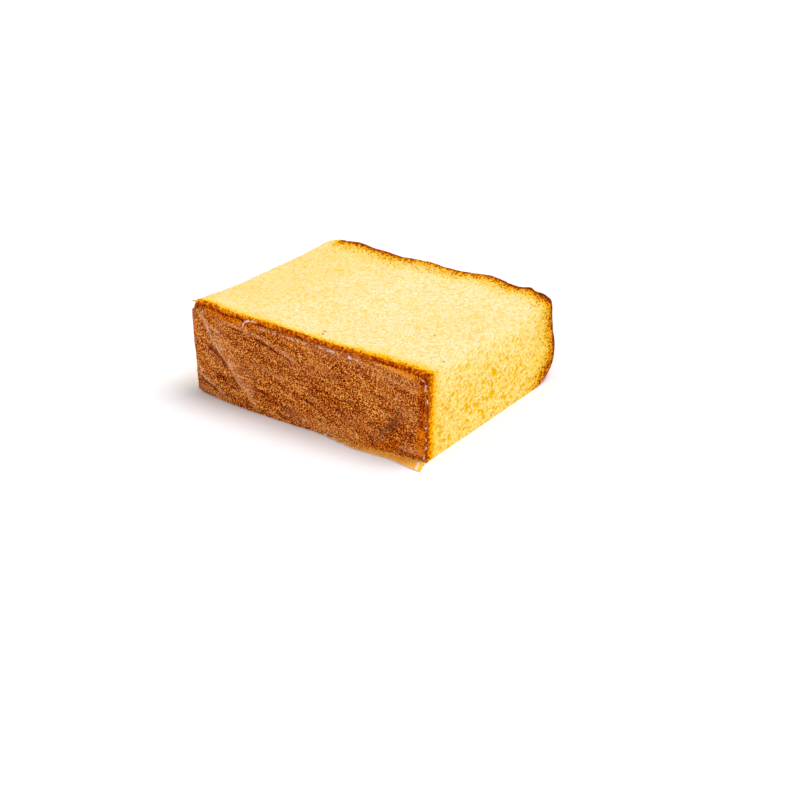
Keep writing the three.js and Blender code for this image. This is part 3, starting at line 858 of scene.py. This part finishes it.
edge_shine = [
    strength * bell(z, height, half_length) * bell(from_right_edge, 0.1, 0.25)
    for height, half_length, strength in EDGE_GLINTS
]
rim_points = RIM_POINT_STRENGTH * sum(bell(x, place, 0.5) for place in RIM_POINTS) * bell(from_rim, 0, 0.5)
rim_shine = RIM_SHINE * smooth_step(x, *RIM_SHINES_FROM) * bell(from_rim, 0, 0.3)
curl_highlight = CURL_HIGHLIGHT_STRENGTH * smooth_step(flap_share, 0.4, 0.9) * bell(from_right_edge, CURL_HIGHLIGHT_AT, 0.3)
ridge_shine = np.maximum.reduce(marks(GLINTS)) * smooth_step(lumps(flat_points, 0.7, 33), -0.4, 0.3)
glint = np.maximum.reduce([ridge_shine, *edge_shine, rim_shine, rim_points, curl_highlight])
golden = smooth_step(flap_share, 0.5, 0.95) * (1 - smooth_step(from_right_edge, 1.2, CURL_HIGHLIGHT_AT))
first, last = (smooth_step(x, *stretch) for stretch in FLAP_PALES)
flap_share = flap_share * (FLAP_PALES_FIRST * first + (1 - FLAP_PALES_FIRST) * last)

# Places where the sugar has soaked the paper orange: their ends, half widths and strengths.
SOAKED = (
    ((87.2, 3.0), (87.0, 23.5), 1.3, 1.7),
    ((88.6, 2.0), (89.2, 24.0), 0.5, 0.6),
    ((-0.6, 28.9), (19.0, 28.5), 1.0, 1.0),
    ((5.0, 27.8), (18.0, 27.4), 1.2, 0.9),
    ((22.0, 27.2), (30.0, 26.6), 1.1, 0.9),
    ((30.0, 26.4), (46.0, 25.6), 1.0, 0.45),
    ((20.0, 28.6), (60.0, 27.2), 0.6, 0.7),
    ((60.0, 27.4), (71.0, 27.0), 0.5, 0.6),
    ((71.5, 27.0), (84.5, 25.5), 0.6, 1.3),
    ((84.5, 25.5), (88.0, 24.8), 0.7, 0.9),
    ((3.8, 24.6), (8.8, 23.8), 0.9, 0.8),
    ((0.0, 9.4), (4.5, 9.2), 0.8, 0.7),
    ((-1.6, 24.0), (-0.6, 8.0), 0.5, 0.9),
    ((-0.6, 0.4), (10.0, 0.3), 0.5, 1.2),
    ((72.5, 1.6), (79.0, 4.2), 0.9, 1.0),
    ((79.0, 4.4), (80.5, 1.5), 0.6, 0.6),
    ((66.0, 0.6), (88.0, 0.6), 0.8, 0.8),
)
# Places painted darker than the rest, or paler where the strength is below 0. The darker ones are mostly
# painted shade: under and beside folds, thin shadow lines below the upper edge, and the hollow under the
# lifted top right corner. There are also plain darker patches, one at the lower right. The paler ones
# lighten the tone, some as painted light on the lit side of a fold, along the upper edge and low down
# against the table's shade.
PAINTED_SHADE_AND_LIGHT = (
    ((2.5, 28.8), (20.0, 28.4), 0.4, 1.0),
    ((4.0, 27.8), (18.0, 27.4), 0.9, -0.5),
    ((20.0, 28.4), (60.0, 27.4), 0.5, 0.9),
    ((22.0, 27.0), (29.0, 26.4), 0.9, 0.35),
    ((60.0, 27.5), (71.0, 27.2), 0.4, 0.4),
    ((71.8, 26.9), (84.0, 25.4), 0.5, -1.5),
    ((60.0, 25.8), (88.0, 24.9), 0.8, -0.2),
    ((87.3, 9.0), (87.0, 3.0), 1.0, -0.5),
    ((87.3, 20.0), (87.0, 12.0), 1.2, 0.8),
    ((87.0, 24.4), (87.8, 24.3), 0.45, 2.6),
    ((4.5, 22.6), (7.0, 21.4), 0.5, 1.2),
    ((9.5, 16.2), (12.7, 13.3), 0.8, 1.3),
    ((12.2, 12.9), (18.0, 6.8), 0.9, 0.65),
    ((18.0, 6.8), (23.4, 2.1), 0.8, 0.35),
    ((5.4, 16.2), (8.4, 15.2), 0.8, 0.6),
    ((1.8, 4.9), (8.3, 3.2), 0.6, 1.3),
    ((8.2, 7.8), (12.5, 7.6), 0.6, 0.5),
    ((13.5, 25.3), (20.5, 24.7), 0.4, 0.6),
    ((26.5, 23.4), (31.5, 22.1), 0.5, 0.5),
    ((31.5, 22.1), (38.5, 20.2), 0.5, 0.9),
    ((24.5, 7.9), (37.0, 6.7), 0.6, 0.45),
    ((38.0, 4.5), (46.0, 1.5), 1.2, 0.3),
    ((19.0, 14.8), (24.0, 13.0), 1.0, 0.4),
    ((41.0, 15.5), (49.0, 14.0), 1.6, 0.35),
    ((64.0, 24.2), (69.7, 24.0), 0.5, 0.4),
    ((78.0, 20.7), (80.5, 20.2), 0.6, 0.5),
    ((79.6, 12.2), (76.6, 8.6), 1.5, 0.65),
    ((76.6, 8.6), (70.6, 2.6), 1.5, 0.6),
    ((10.5, 20.0), (16.0, 13.5), 2.0, -0.3),
    ((46.0, 1.0), (72.0, 3.0), 2.5, -0.2),
    ((8.0, 10.5), (6.0, 12.0), 2.0, -0.2),
)

paper_numbers = np.arange(len(paper_points)).reshape(along.shape)
paper_mesh = bpy.data.meshes.new("baking_paper_strip")
paper_mesh.from_pydata(in_frame(paper_points), [], grid_quads(paper_numbers)[:, ::-1].tolist())
paper_marks = {
    "milk_and_painted_light": milk_and_painted_light,
    "soaked": sum(marks(SOAKED)),
    "painted_shade_and_light": sum(marks(PAINTED_SHADE_AND_LIGHT)),
    "on_flap": flap_share,
    "glint": glint,
    "golden": golden,
}
add_attributes(paper_mesh, "POINT", paper_marks)
paper_mesh.shade_smooth()
paper_mesh.update()
paper = add_object(paper_mesh)
wall = paper.modifiers.new("paper_thickness", "SOLIDIFY")
wall.thickness = PAPER_THICKNESS / 1000
wall.offset = 0

# Greaseproof baking paper, pulp beaten until it is glassy and sized with silicone: satin and half
# see-through, so stuck to the crust it takes the crust's speckled brown, and it turns milkier where air lies
# behind a fold. The pale of its folds is that milkiness with painted sheen and painted light on their lit
# sides; the shade beside the folds and the glints are painted too.
greaseproof, tree = new_material("greaseproof_paper_stuck_to_crust")
place = add_node(tree, "TexCoord").outputs["Object"]
mm = add_node(tree, "VectorMath", [place, 1000.0], operation="SCALE")
is_milk_and_painted_light, is_soaked, is_painted_shade_and_light, is_flap, is_glint, is_golden = (
    add_node(tree, "Attribute", attribute_name=name).outputs["Fac"] for name in paper_marks
)

# The crust's speckles show through the paper. Of 0.1 to 0.2 mm in such a crust, they are drawn at 0.3 and
# 0.5 mm, because finer ones would not show. The streaks are those of the crust's sugar, which ran along the
# tray's lining.
SPECKLE = 0.3
SPECKLE_CELL = 0.5
STREAK_WIDTH = 1.6
STREAK_LENGTH = 11.0
STREAK_SLOPE = radians(15)
STREAK = (STREAK_LENGTH, STREAK_WIDTH, STREAK_WIDTH)
speckles = {"Vector": mm, "Scale": 1 / SPECKLE, "Detail": 1.0, "Roughness": 0.6}
fine_speckle = add_node(tree, "TexNoise", speckles)
speckle_cells = add_node(tree, "TexVoronoi", {"Vector": mm, "Scale": 1 / SPECKLE_CELL})
both_speckles = add_node(tree, "Math", [speckle_cells, 0.45, fine_speckle], operation="MULTIPLY_ADD")
speckle = add_node(tree, "MapRange", [both_speckles, 0.54, 0.94])
streak = {"Vector": mm, "Rotation": (0, STREAK_SLOPE, 0), "Scale": STREAK}
laid_along = add_node(tree, "Mapping", streak, vector_type="TEXTURE")
streaks = add_node(tree, "TexNoise", {"Vector": laid_along, "Scale": 1.0, "Detail": 3.0, "Roughness": 0.6})
streaked = add_node(tree, "Math", [streaks, 0.95, speckle], operation="MULTIPLY_ADD")
# Painted shade and painted light darken and lighten the paper's tone here.
tone_with_painted_shade = add_node(tree, "Math", [is_painted_shade_and_light, -0.4, streaked], operation="MULTIPLY_ADD")
tone = add_node(tree, "MapRange", [tone_with_painted_shade, 0.42, 1.52])

# One tone gives the colours of the crust behind the paper, of soaked paper, and of the thin tan flap.
CRUST_BEHIND = (
    (0.08, "#2c0200", 1), (0.3, "#8a1e00", 1), (0.48, "#c05000", 1), (0.66, "#ec7e10", 1),
    (0.9, "#ffc068", 1),
)
SOAKED_PAPER = ((0.1, "#6c1200", 1), (0.45, "#cc5200", 1), (0.8, "#ff9010", 1))
# The flap's tan is the paper's own colour with no crust behind it, painted brighter against the slice's
# shadow over the flap.
TAN_PAPER = ((0.08, "#f88a10", 1), (0.35, "#ffac30", 1), (0.75, "#ffca68", 1))
# Pale colours for that milkiness and for the painted sheen and light on folds.
MILKY_AND_LIT_PAPER = ((0.2, "#e49050", 1), (0.5, "#f6a868", 1), (0.9, "#ffc494", 1))
crust_through = add_node(tree, "ValToRGB", [tone], stops=CRUST_BEHIND)
broken = add_node(tree, "MapRange", [speckle, 0.2, 0.7, 0.4, 1.0])
milk_and_light_amount = add_node(tree, "Math", [is_milk_and_painted_light, broken], operation="MULTIPLY", use_clamp=True)
soak_amount = add_node(tree, "Math", [is_soaked, broken], operation="MULTIPLY", use_clamp=True)
orange = add_node(tree, "ValToRGB", [tone], stops=SOAKED_PAPER)
with_soak = add_node(tree, "Mix", [soak_amount, crust_through, orange], data_type="RGBA")
tan = add_node(tree, "ValToRGB", [tone], stops=TAN_PAPER)
flap_edge = add_node(tree, "Math", [speckle, 0.2, is_flap], operation="MULTIPLY_ADD")
flap_amount = add_node(tree, "MapRange", [flap_edge, 0.2, 0.8])
with_flap = add_node(tree, "Mix", [flap_amount, with_soak, tan], data_type="RGBA")
with_golden = add_node(tree, "Mix", [is_golden, with_flap, linear("#ffc820")], data_type="RGBA")
milk_and_light = add_node(tree, "ValToRGB", [milk_and_light_amount], stops=MILKY_AND_LIT_PAPER)
with_milk_and_light = add_node(tree, "Mix", [milk_and_light_amount, with_golden, milk_and_light], data_type="RGBA")
# Painted highlights: the glints are mixed in as a pale pinkish white.
paper_colour = add_node(tree, "Mix", [is_glint, with_milk_and_light, linear("#ffe6d8")], data_type="RGBA")
paper_bump = add_node(tree, "Bump", {"Strength": 0.3, "Distance": 0.0003, "Height": streaked})
surface = add_node(
    tree,
    "BsdfPrincipled",
    {
        "Base Color": paper_colour,
        "Roughness": 0.4,
        "IOR": 1.5,
        "Specular IOR Level": 0.03,
        "Specular Tint": linear("#ffb060"),
        "Normal": paper_bump,
    },
)
add_node(tree, "OutputMaterial", {"Surface": surface})
paper_mesh.materials.append(greaseproof)

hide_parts("baking_paper")
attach(paper, "root")

# ----------------------------------------------------------------------------------------------------------
# Crust crumbs. The knife tears toasted crumbs off both crusts and drags them over the soft upper cut, where
# they stay. At the left corner it pulled a thin sliver of the base crust outwards.
# ----------------------------------------------------------------------------------------------------------

# Crumbs that lie alone: their place in x and y, and their size.
LONE_CRUMBS = ((74.2, 22.9, 0.7), (87.2, 8.7, 0.65), (46.3, 6.2, 0.55), (47.2, 4.1, 0.6))
# Strips in which crumbs are strewn: their ends in x and y, half width and number.
STREWN = (
    ((2.0, 1.8), (84.0, 1.4), 1.2, 34),
    ((20.0, 66.0), (84.0, 67.0), 1.6, 22),
    ((30.0, 5.0), (80.0, 40.0), 14.0, 2),
)
CRUMB_SMALLEST = 0.25
CRUMB_LARGEST = 0.55
# Half length, width and height of a crumb as shares of its size: the least and the most.
CRUMB_THINNEST = (0.4, 0.35, 0.3)
CRUMB_THICKEST = (0.7, 0.55, 0.45)
CRUMB_SWELLING = ((0.35, 1.3, 41),)
CRUMB_ROUND = 10
CRUMB_RISE = 6
SLIVER_HALF_SIZE = (1.4, 0.3, 0.24)
SLIVER_PLACE = (-0.4, 1.5, 29.6)
SLIVER_TURN = 0.12

draws = np.random.default_rng(11)
strewn = []
for start, end, half_width, count in STREWN:
    share = draws.random(count)
    off_line = half_width * draws.uniform(-1, 1, count)
    size = between(CRUMB_SMALLEST, CRUMB_LARGEST, draws.random(count) ** 2)
    along_x = between(start[0], end[0], share)
    strewn.append(np.stack([along_x, between(start[1], end[1], share) + off_line, size], -1))
places = np.concatenate([LONE_CRUMBS, *strewn])
half_sizes = places[:, 2:] * draws.uniform(CRUMB_THINNEST, CRUMB_THICKEST, (len(places), 3))
middles = np.column_stack([places[:, :2], upper_cut(places[:, 0], places[:, 1])])
middles = np.concatenate([middles, [SLIVER_PLACE]])
half_sizes = np.concatenate([half_sizes, [SLIVER_HALF_SIZE]])
turned = np.append(draws.uniform(0, np.pi, len(places)), SLIVER_TURN)


def crumb_shape(middles, half_sizes, turned):
    """Pebbles: on each, a sphere's point at longitude u and latitude v is pushed in or out by lumps, which
    differ from pebble to pebble, stretched to the half sizes, turned about the vertical and moved to its
    middle."""
    u = np.linspace(0, 2 * np.pi, CRUMB_ROUND + 1)[None, :, None]
    v = np.linspace(-np.pi / 2, np.pi / 2, CRUMB_RISE + 1)[None, None, :]
    ball = np.stack(np.broadcast_arrays(np.cos(v) * np.cos(u), np.cos(v) * np.sin(u), np.sin(v) + 0 * u), -1)
    ball = np.broadcast_to(ball, (len(middles), *ball.shape[1:]))
    in_lumps = (2.1 * ball + 7 * middles[:, None, None]).reshape(-1, 3)
    swelling = 1 + layered(in_lumps, CRUMB_SWELLING).reshape(ball.shape[:-1])
    shaped = ball * swelling[..., None] * half_sizes[:, None, None]
    c, s = np.cos(turned)[:, None, None], np.sin(turned)[:, None, None]
    x = c * shaped[..., 0] - s * shaped[..., 1]
    y = s * shaped[..., 0] + c * shaped[..., 1]
    return np.stack([x, y, shaped[..., 2]], -1) + middles[:, None, None]


crumb_points = crumb_shape(middles, half_sizes, turned)
crumb_numbers = np.arange(crumb_points[..., 0].size).reshape(crumb_points.shape[:-1])
crumb_quads = np.concatenate([grid_quads(grid) for grid in crumb_numbers])
crumbs_mesh = bpy.data.meshes.new("crust_crumbs")
crumbs_mesh.from_pydata(in_frame(crumb_points.reshape(-1, 3)), [], crumb_quads.tolist())
joined = bmesh.new()
joined.from_mesh(crumbs_mesh)
bmesh.ops.remove_doubles(joined, verts=joined.verts, dist=1e-6)
joined.to_mesh(crumbs_mesh)
joined.free()
crumbs_mesh.shade_smooth()
crumbs_mesh.update()
crumbs = add_object(crumbs_mesh)

# Castella crust, baked and torn to crumbs: dry and matte, golden where it was crumb, brown where skin.
crust, tree = new_material("castella_crust_baked_and_torn")
place = add_node(tree, "TexCoord").outputs["Object"]
CRUST_PATCH = 1.5
patch = add_node(tree, "TexNoise", {"Vector": place, "Scale": 1000 / CRUST_PATCH, "Detail": 2.0})
TORN_CRUST = ((0.35, "#b86404", 1), (0.5, "#e89c10", 1), (0.65, "#fcc840", 1))
crust_colour = add_node(tree, "ValToRGB", [patch], stops=TORN_CRUST)
crust_bump = add_node(tree, "Bump", {"Strength": 0.4, "Distance": 0.0002, "Height": patch})
surface = add_node(
    tree,
    "BsdfPrincipled",
    {
        "Base Color": crust_colour,
        "Roughness": 0.85,
        "IOR": 1.42,
        "Specular IOR Level": 0.1,
        "Normal": crust_bump,
    },
)
add_node(tree, "OutputMaterial", {"Surface": surface})
crumbs_mesh.materials.append(crust)

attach(crumbs, "root")

# ----------------------------------------------------------------------------------------------------------
# Floor, light and camera. A white table sweep under soft studio light: an even white surround, and one
# large diffused lamp high behind the right shoulder of the slice.
# ----------------------------------------------------------------------------------------------------------

FLOOR_SIZE = 6.0
floor_mesh = bpy.data.meshes.new("floor")
half = FLOOR_SIZE / 2
floor_corners = [(-half, -half, 0), (half, -half, 0), (half, half, 0), (-half, half, 0)]
floor_mesh.from_pydata(floor_corners, [], [(0, 1, 2, 3)])
floor = add_object(floor_mesh)
# Matte white card, which gives the eye nothing but the slice's soft shadow.
white, tree = new_material("matte_white_card")
surface = add_node(tree, "BsdfPrincipled", {"Base Color": linear("#fbfafc"), "Roughness": 0.9})
add_node(tree, "OutputMaterial", {"Surface": surface})
floor_mesh.materials.append(white)

# The surround lights the slice with this strength, and the camera sees it white.
SURROUND = 0.6
world = bpy.data.worlds.new("white_surround")
world.use_nodes = True
tree = world.node_tree
tree.nodes.clear()
seen = add_node(tree, "LightPath").outputs["Is Camera Ray"]
strength = add_node(tree, "MapRange", [seen, 0.0, 1.0, SURROUND, 1.0])
background = add_node(tree, "Background", {"Color": (1, 1, 1, 1), "Strength": strength})
add_node(tree, "OutputWorld", {"Surface": background})
bpy.context.scene.world = world
bpy.context.scene.view_settings.view_transform = "Standard"

LAMP_DIRECTION = Vector((0.32, 0.3, 0.9))
LAMP_WIDTH = radians(35)
LAMP_STRENGTH = 2.1
lamp = bpy.data.lights.new("soft_key", "SUN")
lamp.angle = LAMP_WIDTH
lamp.energy = LAMP_STRENGTH
lamp_object = add_object(lamp)
lamp_object.location = LAMP_DIRECTION
lamp_object.rotation_mode = "QUATERNION"
lamp_object.rotation_quaternion = (-LAMP_DIRECTION).to_track_quat("-Z", "Y")

CAMERA_PLACE = Vector((0.31756, -0.40707, 0.24144))
CAMERA_AZIMUTH = radians(37.20)
CAMERA_DOWN = radians(25.60)
CAMERA_ROLL = radians(-2.456)
CAMERA_LENS = 82.0
CAMERA_SENSOR = 36.0
camera = add_object(bpy.data.cameras.new("camera"))
bpy.context.scene.camera = camera
camera.data.sensor_width = CAMERA_SENSOR
camera.data.lens = CAMERA_LENS
level = cos(CAMERA_DOWN)
view_line = Vector((-sin(CAMERA_AZIMUTH) * level, cos(CAMERA_AZIMUTH) * level, -sin(CAMERA_DOWN)))
camera.location = CAMERA_PLACE
camera.rotation_mode = "QUATERNION"
camera.rotation_quaternion = view_line.to_track_quat("-Z", "Y") @ Quaternion((0, 0, 1), CAMERA_ROLL)

# ----------------------------------------------------------------------------------------------------------
# The scene is brought up to date.
# ----------------------------------------------------------------------------------------------------------

bpy.context.view_layer.update()
